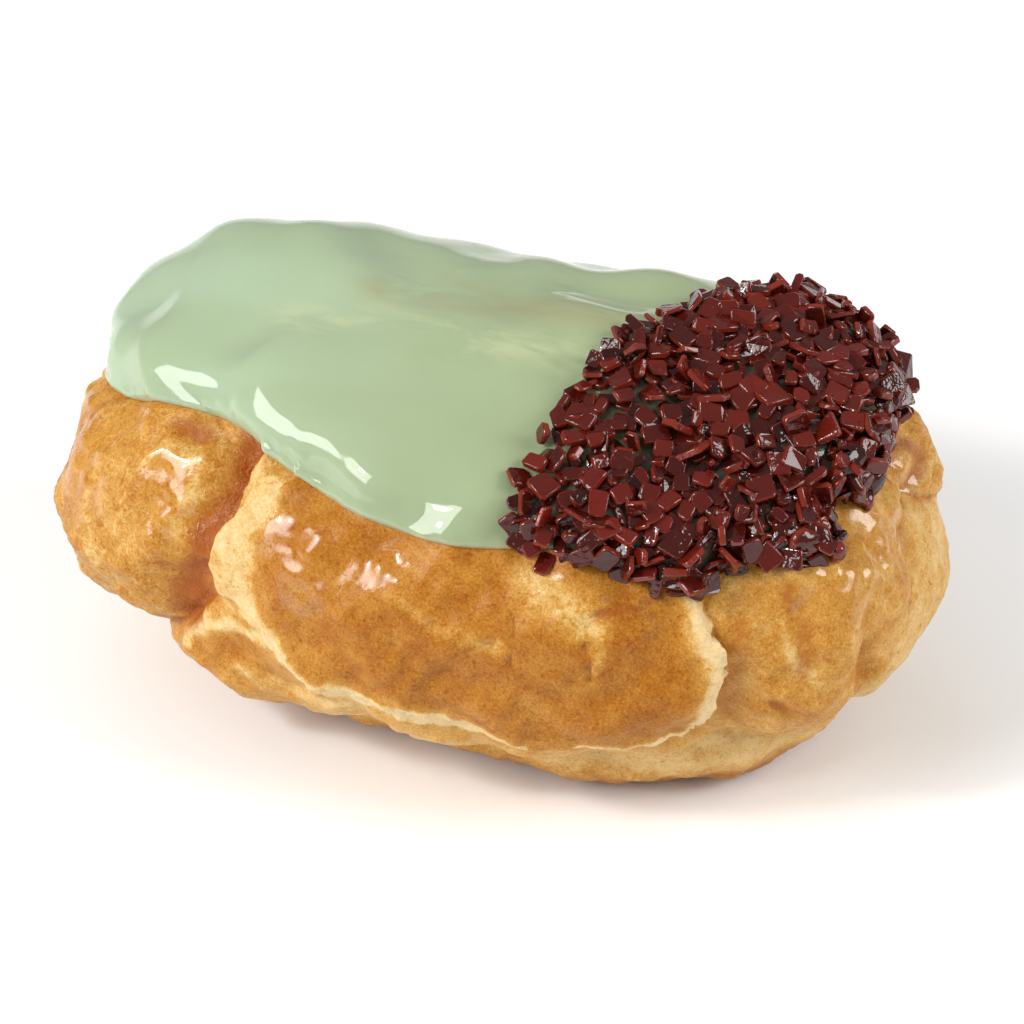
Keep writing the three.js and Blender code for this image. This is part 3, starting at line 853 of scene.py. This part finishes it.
# Hollows and swells of the icing, each along a path; a swell's depth is below zero.
icingDents = {
    "overValley": {
        "path": [(-21.6, -16, 36), (-23.7, -12.8, 37.6), (-25, -7, 39)],
        "depth": 0.6, "width": 2.6},
    "hollow": {
        "path": [(-10, 9, 44), (-2, 11, 43.5), (6, 10.5, 43.7)],
        "depth": 0.5, "width": 5.0},
    "overBulb": {
        "path": [(-40, -4.2, 36.7), (-34.2, -7.5, 39.1), (-28.9, -9.3, 40.3), (-24, -11, 40.9)],
        "depth": -0.8, "width": 3.6},
    "shoulder": {
        "path": [(-14, -17, 39), (-4, -18, 39), (6, -18, 38.5)],
        "depth": -0.35, "width": 3.5},
    "shoulderDip": {
        "path": [(0, -22, 37), (2, -16, 40)],
        "depth": 0.3, "width": 2.5},
}
# The line that the flakes' end begins at: x for each y, and how far it wanders.
flakeZone = {
    "line": [
        (-24, 10), (-18.7, 8), (-11.4, 9.2), (-1.6, 10.8), (3.3, 13), (12.7, 18.2), (18.6, 21.5),
        (28, 26),
    ],
    "ragged": 1.2,
}


def pastFlakeLine(points):
    # How far past the line a point lies, towards the flakes' end.
    lineY, lineX = np.array(flakeZone["line"], float).T
    return points[..., 0] - np.interp(points[..., 1], lineY, lineX)


def icingInner(rays):
    return crustDistance(rays) - icing["sunk"]


def icingOuter(rays):
    # The soft skin plus the thickness, a thicker bed under the flakes and pour marks, kept a
    # little above the crust. At its edge it is a quarter round of the edge's height, then it
    # thickens over a few millimetres.
    fromEdge = edgeDistance(rays)
    inner = icingInner(rays)
    smooth = skinDistance(rays, icing["blend"], warp(rays, "warpLarge", 11))
    points = heart + rays * smooth[..., None]
    smooth = smooth - sagDepth(points)
    bed = icing["flakeBed"] * easeStep(pastFlakeLine(points), -flakeZone["ragged"], flakeZone["ragged"])
    marks = sum(
        reach * waves(points * icing["pourStretch"], length, 61 + index)
        for index, (reach, length) in enumerate(icing["pour"])
    )
    for dent in icingDents.values():
        marks -= dent["depth"] * hump(lineDistance(points, dent["path"]), dent["width"])
    full = smooth + icing["thickness"] + bed + marks
    least = inner + icing["sunk"] + icing["least"]
    full = (full + least + np.sqrt((full - least) ** 2 + icing["round"] ** 2)) / 2
    turns, heights = np.array(icing["edge"], float).T
    edgeHeight = np.interp(np.degrees(aroundOf(rays)), turns, heights)
    short = 1 - np.clip(fromEdge / icing["rounding"], 0, 1)
    rounded = np.sqrt(1 - short * short)
    base = inner + (np.maximum(smooth, inner) - inner) * easeStep(fromEdge, 0, icing["rise"])
    thicker = easeStep(fromEdge, -icing["thinning"] / 3, icing["thinning"])
    thick = edgeHeight + (full - base - edgeHeight) * thicker
    return base + thick * rounded


def discGrid(rows, columns):
    # A square grid bent to a disc, x = a * sqrt(1 - b^2 / 2) and y = b * sqrt(1 - a^2 / 2):
    # the share of the way from the middle to the edge, and the direction round it.
    b, a = np.meshgrid(np.linspace(-1, 1, rows), np.linspace(-1, 1, columns), indexing="ij")
    x = a * np.sqrt(1 - b * b / 2)
    y = b * np.sqrt(1 - a * a / 2)
    return np.minimum(np.hypot(x, y), 1), np.arctan2(y, x)


def icingPiece(material):
    rows, columns = icing["along"], icing["across"]
    share, around = discGrid(rows, columns)
    edge = dipAngle(around)
    height = edge + (math.pi / 2 - edge) * (1 - share)
    rays = direction(around, height)
    outerDistance = icingOuter(rays)
    innerDistance = icingInner(rays)
    outer = heart + rays * outerDistance[..., None]
    inner = heart + rays * innerDistance[..., None]
    index = np.arange(rows * columns).reshape(rows, columns)
    isRim = np.zeros((rows, columns), bool)
    isRim[[0, -1], :] = True
    isRim[:, [0, -1]] = True
    innerIndex = np.where(isRim, index, 0)
    innerIndex[~isRim] = rows * columns + np.arange((~isRim).sum())
    quads = np.stack([index[:-1, :-1], index[:-1, 1:], index[1:, 1:], index[1:, :-1]], -1)
    innerQuads = np.stack(
        [innerIndex[:-1, :-1], innerIndex[1:, :-1], innerIndex[1:, 1:], innerIndex[:-1, 1:]], -1
    )
    points = np.concatenate([outer.reshape(-1, 3), inner[~isRim]])
    thick = outerDistance - innerDistance
    values = {
        "thick": np.concatenate([thick.ravel(), thick[~isRim]]),
        "flaked": pastFlakeLine(points),
    }
    for key, smear in icingSmears.items():
        values[key] = hump(lineDistance(points, smear["path"]), smear["width"])
    faces = quads.reshape(-1, 4).tolist() + innerQuads.reshape(-1, 4).tolist()
    return makePiece("icingCoat", points, faces, material, values)


icingColours = {
    "pale": linear(164, 182, 153),
    "deep": linear(155, 171, 138),
    "flakesEnd": linear(149, 160, 121),
    "thin": linear(184, 152, 104),
    "shadedAndStained": linear(50, 40, 32),
    "brownishShade": linear(150, 143, 104),
    "creamy": linear(186, 193, 152),
}
# Where the icing is smeared with another colour, each along a path; the brownish one is painted shade.
icingSmears = {
    "brownishShade": {
        "path": [(-14, 3.4, 44.8), (-5.2, 4.4, 45.1), (2.3, 4.8, 45.1), (9.6, 5.6, 45)],
        "width": 3.2, "from": 0.25, "to": 0.6},
    "creamy": {
        "path": [(-22.3, -3.2, 43.6), (-12.4, -3.1, 44.6), (-2.5, -3.2, 44.9), (6.7, -1.8, 44.8)],
        "width": 2.6, "from": 0.42, "to": 0.62},
}
# The icing's finish: its noises as on the crust, and the share of each colour laid over it.
icingFinish = {
    "alongX": (0.35, 1, 1),
    "streaks": {"noise": (14, 2, 0.5, 0.5), "from": 0.3, "to": 0.75},
    "smears": {"noise": (3.5, 4, 0.6, 0.4), "share": 0.65},
    "flakesEnd": {"from": -45, "to": 0, "share": 0.75},
    "thin": {"all": 0.12, "none": 0.85, "share": 0.75},
    "shadedAndStained": {"from": 0, "to": 3.5, "share": 0.85},
    "roughness": 0.04,
    "bends": 1.5,
    "lightIn": (0.6, (1.5, 1.7, 1.1)),
}


def icingMaterial():
    material, tree, surface = newMaterial("pale green icing")
    place = addNode(tree, "ShaderNodeTexCoord").outputs["Object"]
    look, colours = icingFinish, icingColours
    streaked = scaled(tree, place, look["alongX"])
    streaks = fadeAs(tree, grain(tree, streaked, *look["streaks"]["noise"]), look["streaks"])
    colour = mixColour(tree, streaks, colours["pale"], colours["deep"])
    pastLine = attribute(tree, "flaked")
    colour = mixColour(tree, fadeAs(tree, pastLine, look["flakesEnd"]), colour, colours["flakesEnd"])
    # smears laid over the streaks, broken up by noise; the brownish one is painted shade
    broken = grain(tree, streaked, *look["smears"]["noise"])
    for key, smear in icingSmears.items():
        share = fade(tree, broken, smear["from"], smear["to"], 0, look["smears"]["share"])
        share = maths(tree, "MULTIPLY", attribute(tree, key), share)
        colour = mixColour(tree, share, colour, colours[key])
    # the crust shows through where it is thin; under the flakes chocolate stains it and painted shade
    # darkens it
    thin = look["thin"]
    isThin = fade(tree, attribute(tree, "thick"), thin["all"], thin["none"], thin["share"], 0)
    colour = mixColour(tree, isThin, colour, colours["thin"])
    colour = mixColour(tree, fadeAs(tree, pastLine, look["shadedAndStained"]), colour, colours["shadedAndStained"])
    tree.links.new(colour, surface.inputs["Base Color"])
    surface.inputs["Roughness"].default_value = look["roughness"]
    surface.inputs["IOR"].default_value = look["bends"]
    letLightIn(surface, *look["lightIn"])
    return material


icingObject = icingPiece(icingMaterial())
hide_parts("icing")
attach(icingObject, "root")
print("icing", len(icingObject.data.polygons), "faces")


# The chocolate flakes, in millimetres and degrees.
flakes = {
    # Each layer's range of tone runs from dark to light chocolate; the lower layer's is kept darker as
    # painted shade in the gaps.
    "layers": (  # spacing, lift over the icing, steepest tilt, way in from the ragged line and edge
        {"count": 560, "spacing": 1.4, "lift": 0.2, "steepest": 45, "inset": 0.0, "toneAndShade": (0, 0.5)},
        {"count": 360, "spacing": 1.7, "lift": 0.9, "steepest": 70, "inset": 0.7, "toneAndShade": (0.15, 1)},
    ),
    "length": (1.7, 2.9),
    "width": (0.6, 0.98),
    "thickness": (0.5, 0.9),
    "shards": 0.16,          # share that is long and narrow
    "shardLonger": 1.15,
    "shardWidth": (0.28, 0.4),
    "skew": 0.1,             # how far a corner moves, by the flake's width
    "cut": 0.22,             # how much of a corner breaks off
    "cutSpread": (0.6, 1.8),
    "bevel": 0.16,
    "bend": 0.1,
    "tiltPower": 1.3,        # above 1 more of them lie nearly flat
    "liftByTilt": 0.5,
    "fromEdge": -0.3,        # they hang over the icing's edge
    "lowest": 0.2,
    "tries": 30,             # places tried for each flake
    "strays": [
        (290.3, 39.0), (314.7, 33.0), (313.9, 36.0), (346.8, 39.0), (288.0, 54.0), (286.5, 46.5),
    ],
    "strayTilt": 25,
    "strayLift": 0.1,
}
# Chocolate that melted into lumps: direction and height angles, how many lie there, and how far
# they lie about it. What melted doesn't give is as in flakes.
melted = {
    **flakes,
    "clumps": [((333.8, 41), 3, 0.9), ((334.5, 37), 4, 0.9), ((338, 35), 4, 0.8), ((354, 45), 4, 1.2),
               ((353, 41.5), 4, 1.0), ((357, 38.5), 4, 1.0), ((4, 40.5), 4, 1.2), ((8, 37.5), 3, 0.8)],
    "spread": (0.8, 0.6),
    "length": (2.6, 4.0), "width": (0.45, 0.7), "thickness": (1.3, 1.8), "bevel": 0.5, "cut": 0.6,
    "skew": 0.15, "bend": 0.12, "shards": 0.2, "steepest": 50, "lift": 0.5, "toneAndShade": (0, 0.4),
}


def icingFrame(around, height):
    # A point of the icing's outer face and its outward direction, from two nearby points.
    nearby = 0.02

    def pointAt(a, h):
        rays = direction(a, h)
        return heart + rays * icingOuter(rays)[..., None]

    here = pointAt(around, height)
    beside = pointAt(around + nearby, height) - pointAt(around - nearby, height)
    above = pointAt(around, height + nearby) - here
    return here, unit(np.cross(beside, above))


def spreadPlaces(draw, count, spacing, inset):
    # Random places on the flakes' end, each kept if it is far enough from all kept before it.
    tries = count * flakes["tries"]
    around = draw.uniform(0, fullTurn, tries)
    height = np.arcsin(draw.uniform(flakes["lowest"], 1, tries))
    ragged = draw.uniform(-1, 1, tries) * flakeZone["ragged"]
    rays = direction(around, height)
    rough = heart + rays * (skinDistance(rays, icing["blend"]) + icing["thickness"])[..., None]
    fromEdge = (height - dipAngle(around)) * rayFrame["perRadian"]
    isPlace = (pastFlakeLine(rough) > inset + ragged) & (fromEdge > flakes["fromEdge"] + inset)
    kept = []
    for index in np.flatnonzero(isPlace):
        if all(np.sum((rough[kept] - rough[index]) ** 2, axis=-1) > spacing ** 2):
            kept.append(index)
        if len(kept) == count:
            break
    return around[kept], height[kept]


def flakeShapes(draw, count, sizes):
    # Each flake is a four-cornered plate: corners moved at random, each cut in two, four
    # layers of that outline with the outer two drawn in by the bevel, then bent and twisted.
    isShard = draw.uniform(size=count) < sizes["shards"]
    length = draw.uniform(*sizes["length"], count) * np.where(isShard, sizes["shardLonger"], 1)
    shardWidth = draw.uniform(*sizes["shardWidth"], count)
    width = length * np.where(isShard, shardWidth, draw.uniform(*sizes["width"], count))
    thickness = draw.uniform(*sizes["thickness"], count)
    square = np.array([(-1, -1), (1, -1), (1, 1), (-1, 1)]) / 2
    corners = square * np.stack([length, width], -1)[:, None]
    corners = corners + draw.uniform(-1, 1, (count, 4, 2)) * sizes["skew"] * width[:, None, None]
    toNext = unit(np.roll(corners, -1, 1) - corners)
    toLast = unit(np.roll(corners, 1, 1) - corners)
    cut = sizes["cut"] * draw.uniform(*sizes["cutSpread"], (count, 4, 1))
    outline = np.stack([corners + toLast * cut, corners + toNext * cut], 2).reshape(count, 8, 2)
    outward = unit(outline - outline.mean(axis=1, keepdims=True))
    bevel = sizes["bevel"]
    half = thickness[:, None] / 2
    inset = np.array([bevel, 0, 0, bevel])
    level = np.stack([-half, bevel - half, half - bevel, half], 1)
    flat = outline[:, None] - outward[:, None] * inset[None, :, None, None]
    bend = draw.normal(size=(count, 1, 1)) * sizes["bend"]
    twist = draw.normal(size=(count, 1, 1)) * sizes["bend"]
    x, y = flat[..., 0], flat[..., 1]
    z = level + bend * x * x + twist * x * y
    return np.stack([x, y, z], -1).reshape(count, 32, 3)


def turned(points, axis, angle):
    # Each flake's points turned about its own axis X (0) or Z (2).
    first, second = ((1, 2) if axis == 0 else (0, 1))
    a, b = points[..., first].copy(), points[..., second].copy()
    points[..., first] = a * np.cos(angle)[:, None] - b * np.sin(angle)[:, None]
    points[..., second] = a * np.sin(angle)[:, None] + b * np.cos(angle)[:, None]
    return points


def laidFlakes(draw, around, height, sizes, steepest, lift):
    # Flakes turned at random and tilted up to the steepest angle, on the icing or the crust.
    count = len(around)
    shapes = turned(flakeShapes(draw, count, sizes), 2, draw.uniform(0, fullTurn, count))
    tilt = np.radians(steepest) * draw.uniform(size=count) ** sizes["tiltPower"]
    shapes = turned(turned(shapes, 0, tilt), 2, draw.uniform(0, fullTurn, count))
    here, normal = icingFrame(around, height)
    east = unit(np.cross([0.0, 1.0, 0.0], normal))
    north = np.cross(normal, east)
    lift = lift + sizes["liftByTilt"] * np.sin(tilt)
    return (
        here[:, None] + shapes[..., 0:1] * east[:, None] + shapes[..., 1:2] * north[:, None]
        + (shapes[..., 2:3] + lift[:, None, None]) * normal[:, None]
    )


def flakeMesh(name, points, toneAndShade, material, smooth):
    # All flakes as one mesh: for each, three rings of eight sides and two eight-cornered faces.
    count = len(points)
    corner = np.arange(8)
    following = np.roll(corner, -1)
    sides = [np.stack([low + corner, low + following, low + 8 + following, low + 8 + corner], -1)
             for low in (0, 8, 16)]
    sides = np.concatenate(sides)
    start = np.arange(count)[:, None, None] * 32
    faces = (start + sides).reshape(-1, 4).tolist()
    faces += (start[:, :, 0] + corner[::-1]).tolist() + (start[:, :, 0] + 24 + corner).tolist()
    toneAndShade = np.repeat(toneAndShade, 32)
    # the rim rings carry painted light along the flakes' edges
    rim = np.tile(np.repeat([0.0, 1.0, 1.0, 0.0], 8), count)
    sideSmooth = np.tile(np.repeat([True, smooth, True], 8), count)
    isSmooth = np.concatenate([sideSmooth, np.full(2 * count, smooth)])
    return makePiece(name, points, faces, material, {"toneAndShade": toneAndShade, "rim": rim}, isSmooth)


def flakesPiece(material):
    draw = np.random.default_rng(5)
    points, toneAndShade = [], []
    for layer in flakes["layers"]:
        around, height = spreadPlaces(draw, layer["count"], layer["spacing"], layer["inset"])
        points.append(laidFlakes(draw, around, height, flakes, layer["steepest"], layer["lift"]))
        toneAndShade.append(draw.uniform(*layer["toneAndShade"], len(around)))
        print("flakes in layer", len(around))
    around, height = np.radians(flakes["strays"]).T
    whole = {**flakes, "shards": 0}
    points.append(laidFlakes(draw, around, height, whole, flakes["strayTilt"], flakes["strayLift"]))
    toneAndShade.append(draw.uniform(size=len(around)))
    return flakeMesh("chocolateFlakes", np.concatenate(points), np.concatenate(toneAndShade), material, False)


def meltedPiece(material):
    draw = np.random.default_rng(8)
    around, height = [], []
    for place, count, reach in melted["clumps"]:
        spread = draw.normal(size=(2, count)) * reach / rayFrame["perRadian"]
        around.append(math.radians(place[0]) + melted["spread"][0] * spread[0])
        height.append(math.radians(place[1]) + melted["spread"][1] * spread[1])
    around, height = np.concatenate(around), np.concatenate(height)
    points = laidFlakes(draw, around, height, melted, melted["steepest"], melted["lift"])
    toneAndShade = draw.uniform(*melted["toneAndShade"], len(points))
    return flakeMesh("meltedChocolate", points, toneAndShade, material, True)


# The chocolate's dark and light tones; edge is painted light on the flakes' rims, where light shows
# through and glances off
chocolateColours = {"dark": linear(42, 7, 4), "light": linear(98, 25, 15), "edge": linear(134, 46, 29)}
chocolateFinish = {
    "rim": {"from": 0.1, "to": 1, "share": 0.6},
    "roughness": {"noise": (1.5, 3), "from": 0.3, "to": 0.7, "smooth": 0.04, "rough": 0.13},
    "relief": {"noise": (1.0, 2), "depth": 0.13},
    "bends": 1.5,
}


def chocolateMaterial():
    material, tree, surface = newMaterial("dark chocolate")
    place = addNode(tree, "ShaderNodeTexCoord").outputs["Object"]
    look, colours = chocolateFinish, chocolateColours
    # dark to light by each flake's tone; the lower layer's darker tones are painted shade
    colour = mixColour(tree, attribute(tree, "toneAndShade"), colours["dark"], colours["light"])
    # painted light on the rims: lighter toward the edge colour
    rim = fadeAs(tree, attribute(tree, "rim"), look["rim"])
    tree.links.new(mixColour(tree, rim, colour, colours["edge"]), surface.inputs["Base Color"])
    rough, relief = look["roughness"], look["relief"]
    roughness = grain(tree, place, *rough["noise"])
    roughness = fade(tree, roughness, rough["from"], rough["to"], rough["smooth"], rough["rough"])
    tree.links.new(roughness, surface.inputs["Roughness"])
    surface.inputs["IOR"].default_value = look["bends"]
    skin = bump(tree, grain(tree, place, *relief["noise"]), relief["depth"])
    tree.links.new(skin, surface.inputs["Normal"])
    return material


chocolate = chocolateMaterial()
for chocolateObject in (flakesPiece(chocolate), meltedPiece(chocolate)):
    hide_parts("icing")
    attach(chocolateObject, "root")
    print(chocolateObject.name, len(chocolateObject.data.polygons), "faces")


# Floor, light and camera, in metres, degrees and watts.
studio = {
    "floorSize": 6.0,
    "floorColour": (0.9, 0.9, 0.9, 1.0),
    "surround": 0.28,
    "lampsAim": (0, 0, 0.02),
}
# Key, spark and right mirror in the icing, and top and front only fill.
lamps = {
    "key": {"azimuth": -46, "elevation": 36, "distance": 0.6, "size": (0.34, 0.31), "energy": 2.75},
    "spark": {"azimuth": -45, "elevation": 44, "distance": 0.6, "size": (0.08, 0.08), "energy": 0.9},
    "top": {"azimuth": -115, "elevation": 62, "distance": 0.9, "size": (0.8, 0.8), "energy": 1.8,
            "glossy": False},
    "front": {"azimuth": 25, "elevation": 18, "distance": 0.9, "size": (0.8, 0.8), "energy": 0.6,
              "glossy": False},
    "right": {"azimuth": 98, "elevation": 34, "distance": 0.7, "size": (0.36, 0.38), "energy": 3.4},
}
photoView = {
    "azimuth": 19, "elevation": 38, "distance": 0.45, "lens": 149.34,
    "aim": (0.00093, -0.00009, 0.0205),
}


def away(azimuth, elevation, distance):
    # A place that far from the origin. Azimuth 0 is the -Y side and 90 the +X side, in degrees.
    a, e = math.radians(azimuth), math.radians(elevation)
    return Vector((math.sin(a) * math.cos(e), -math.cos(a) * math.cos(e), math.sin(e))) * distance


def facing(azimuth, elevation):
    # The turn of a lamp or camera that stands that way off and looks back.
    return away(azimuth, elevation, 1).to_track_quat("Z", "Y").to_euler()


def softbox(name, azimuth, elevation, distance, size, energy, glossy=True):
    lamp = bpy.data.lights.new(name, "AREA")
    lamp.shape = "RECTANGLE"
    lamp.size, lamp.size_y = size
    lamp.energy = energy
    holder = bpy.data.objects.new(name, lamp)
    holder.visible_glossy = glossy
    holder.location = away(azimuth, elevation, distance) + Vector(studio["lampsAim"])
    holder.rotation_euler = facing(azimuth, elevation)
    bpy.context.collection.objects.link(holder)


def floorMaterial():
    material, _, surface = newMaterial("white paper floor")
    surface.inputs["Base Color"].default_value = studio["floorColour"]
    surface.inputs["Roughness"].default_value = 0.9
    return material


for lampName, lamp in lamps.items():
    softbox(lampName, **lamp)
floorHalf = studio["floorSize"] / 2 / mm
floorPoints = floorHalf * np.array([(-1, -1, 0), (1, -1, 0), (1, 1, 0), (-1, 1, 0)])
floorObject = makePiece("floor", floorPoints, [[0, 1, 2, 3]], floorMaterial())

world = bpy.data.worlds.new("studio")
world.use_nodes = True
world.node_tree.nodes["Background"].inputs["Color"].default_value = (1, 1, 1, 1)
world.node_tree.nodes["Background"].inputs["Strength"].default_value = studio["surround"]
bpy.context.scene.world = world

camera = bpy.data.objects.new("camera", bpy.data.cameras.new("camera"))
camera.data.lens = photoView["lens"]
azimuth, elevation = photoView["azimuth"], photoView["elevation"]
camera.location = Vector(photoView["aim"]) + away(azimuth, elevation, photoView["distance"])
camera.rotation_euler = facing(azimuth, elevation)
bpy.context.collection.objects.link(camera)
bpy.context.scene.camera = camera
print("studio ready")
